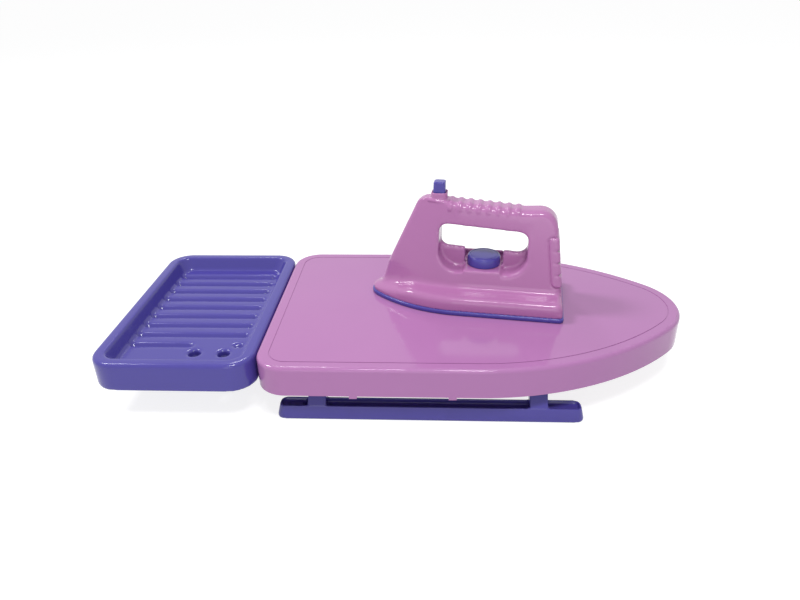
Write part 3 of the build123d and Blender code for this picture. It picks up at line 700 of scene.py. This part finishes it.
# %% The leg rails
rail_cell = 0.9 * millimetre
hollow_inner_y, hollow_outer_y, hollow_low_z = 0.0992, 0.1127, 0.001
# low x, high x and the height of the hollow's floor
hollow_floors = (
    (-0.1065, -0.0850, 0.0115),
    (-0.0860, 0.1280, 0.0095),
    (0.1270, 0.1657, 0.0115),
)
for node, name, side in (("front_leg", "front_rail", -1), ("rear_leg", "rear_rail", 1)):
    rail_form = merged_copy(node)
    for low_x, high_x, floor_z in hollow_floors:
        level_bar(
            rail_form,
            (low_x, side * hollow_inner_y, hollow_low_z),
            (high_x, side * hollow_outer_y, floor_z),
        )
    rail_form = even_cells(rail_form, rail_cell)
    relax(rail_form, 3, below_knuckles)
    relax(rail_form, 8, at_foot_end)
    rail = stood_up(rail_form, name)
    rail.data.materials.append(tray_purple)
    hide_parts(node)
    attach(rail, node)
    print(name, "faces", len(rail.data.polygons))

# %% [markdown]
# ## The floor
# The toy stands on a plain pale floor. Seen by the camera the floor is nearly white, yet it
# still takes the toy's shadow, so part of it glows only for camera, glossy and transmission
# rays while the rest is an ordinary matt surface.

# %% The floor
floor_size = 24.0
bm = bmesh.new()
bmesh.ops.create_grid(bm, x_segments=1, y_segments=1, size=floor_size / 2)
floor_mesh = bpy.data.meshes.new("floor")
bm.to_mesh(floor_mesh)
bm.free()
floor = bpy.data.objects.new("floor", floor_mesh)
bpy.context.scene.collection.objects.link(floor)
print("floor", floor_size, "m wide")

# %% Tell seen rays from lighting rays


def seen_rays(tree):
    """1 for camera, glossy and transmission rays, and 0 for the rays that light the toy."""
    path = tree.nodes.new("ShaderNodeLightPath")
    camera_or_glossy = tree.nodes.new("ShaderNodeMath")
    camera_or_glossy.operation = "MAXIMUM"
    tree.links.new(path.outputs["Is Camera Ray"], camera_or_glossy.inputs[0])
    tree.links.new(path.outputs["Is Glossy Ray"], camera_or_glossy.inputs[1])
    any_of_three = tree.nodes.new("ShaderNodeMath")
    any_of_three.operation = "MAXIMUM"
    tree.links.new(camera_or_glossy.outputs[0], any_of_three.inputs[0])
    tree.links.new(path.outputs["Is Transmission Ray"], any_of_three.inputs[1])
    return any_of_three


# %% The floor's material
pale_grey, seen_grey = (0.80, 0.80, 0.81, 1.0), (0.38, 0.38, 0.385, 1.0)
floor_roughness, floor_glow = 0.9, 0.82
floor_material = bpy.data.materials.new("pale_floor")
floor_material.use_nodes = True
tree = floor_material.node_tree
matt = tree.nodes["Principled BSDF"]
matt.inputs["Base Color"].default_value = pale_grey
matt.inputs["Roughness"].default_value = floor_roughness
dim_matt = tree.nodes.new("ShaderNodeBsdfDiffuse")
dim_matt.inputs["Color"].default_value = seen_grey
glow = tree.nodes.new("ShaderNodeEmission")
glow.inputs["Strength"].default_value = floor_glow
seen_floor = tree.nodes.new("ShaderNodeAddShader")
tree.links.new(dim_matt.outputs[0], seen_floor.inputs[0])
tree.links.new(glow.outputs[0], seen_floor.inputs[1])
choice = tree.nodes.new("ShaderNodeMixShader")
tree.links.new(seen_rays(tree).outputs[0], choice.inputs["Fac"])
tree.links.new(matt.outputs[0], choice.inputs[1])
tree.links.new(seen_floor.outputs[0], choice.inputs[2])
tree.links.new(choice.outputs[0], tree.nodes["Material Output"].inputs["Surface"])
floor_mesh.materials.append(floor_material)
print("floor material", floor_material.name)

# %% [markdown]
# ## Light
# Soft studio light: an even sky of plain strength all round, and a wide lamp high on the left
# that gives the toy its soft shadow. Four weaker lamps stand where the photograph shows bright
# spots on the plastic: two above the near side, one behind and a wide one low in front, which
# lights the skirt and the foot. One strong lamp alone would leave hard shadows.

# %% The sky
plain_white = (1.0, 1.0, 1.0, 1.0)
sky_strength = 0.42
world = bpy.data.worlds.new("studio")
bpy.context.scene.world = world
world.use_nodes = True
sky_tree = world.node_tree
sky = sky_tree.nodes["Background"]
sky.inputs["Color"].default_value = plain_white
sky.inputs["Strength"].default_value = sky_strength
white = sky_tree.nodes.new("ShaderNodeBackground")
white.inputs["Color"].default_value = plain_white
white.inputs["Strength"].default_value = 1.0
which = sky_tree.nodes.new("ShaderNodeMixShader")
sky_tree.links.new(seen_rays(sky_tree).outputs[0], which.inputs["Fac"])
sky_tree.links.new(sky.outputs[0], which.inputs[1])
sky_tree.links.new(white.outputs[0], which.inputs[2])
sky_tree.links.new(which.outputs[0], sky_tree.nodes["World Output"].inputs["Surface"])
print("sky strength", sky_strength)

# %% The lamps


def soft_lamp(name, place, target, width, power):
    """A square lamp of a width in metres and a power in watts, turned to its target."""
    lamp_data = bpy.data.lights.new(name, "AREA")
    lamp_data.shape = "SQUARE"
    lamp_data.size = width
    lamp_data.energy = power
    lamp = bpy.data.objects.new(name, lamp_data)
    lamp.location = place
    direction = Vector(target) - Vector(place)
    lamp.rotation_euler = direction.to_track_quat("-Z", "Y").to_euler()
    bpy.context.scene.collection.objects.link(lamp)


toy_middle = (0.0, 0.0, 0.08)
right_of_middle = (0.2, 0.0, 0.08)
foot_middle = (0.0, 0.0, 0.03)
soft_lamp("key_lamp", (-1.2, 0.2, 1.6), toy_middle, 0.4, 15.5)
soft_lamp("left_lamp", (-0.10, -0.55, 1.2), toy_middle, 0.12, 2.2)
soft_lamp("right_lamp", (0.17, -0.55, 1.2), right_of_middle, 0.22, 6.0)
soft_lamp("rear_lamp", (-0.45, 1.1, 1.35), toy_middle, 0.25, 3.0)
soft_lamp("front_lamp", (0.0, -1.8, 0.3), foot_middle, 1.0, 4.8)

# %% [markdown]
# ## Camera
# The camera stands where the photographer stood. Its place, its three small turns and its
# focal length were fitted to the outline of the board, and the picture is 800 pixels wide.

# %% The photographer's camera
camera_place = Vector((0.03034, -0.58975, 0.37816))
yaw = -0.0533
pitch = 0.4886
roll = -0.0187
focal_pixels = 653.67
picture_width = 800.0

forward = Vector(
    (math.sin(yaw) * math.cos(pitch), math.cos(yaw) * math.cos(pitch), -math.sin(pitch))
)
level_right = Vector((math.cos(yaw), -math.sin(yaw), 0.0))
level_up = level_right.cross(forward)
right = math.cos(roll) * level_right + math.sin(roll) * level_up
up = -math.sin(roll) * level_right + math.cos(roll) * level_up

camera_data = bpy.data.cameras.new("photo_camera")
camera_data.sensor_fit = "HORIZONTAL"
camera_data.sensor_width = 36.0
camera_data.lens = focal_pixels * camera_data.sensor_width / picture_width
camera_data.clip_start = 0.01
camera = bpy.data.objects.new("photo_camera", camera_data)
turn = Matrix((right, up, -forward)).transposed()
camera.matrix_world = Matrix.Translation(camera_place) @ turn.to_4x4()
bpy.context.scene.collection.objects.link(camera)
bpy.context.scene.camera = camera
bpy.context.scene.view_settings.view_transform = "Standard"
print("lens", round(camera_data.lens, 2), "mm")
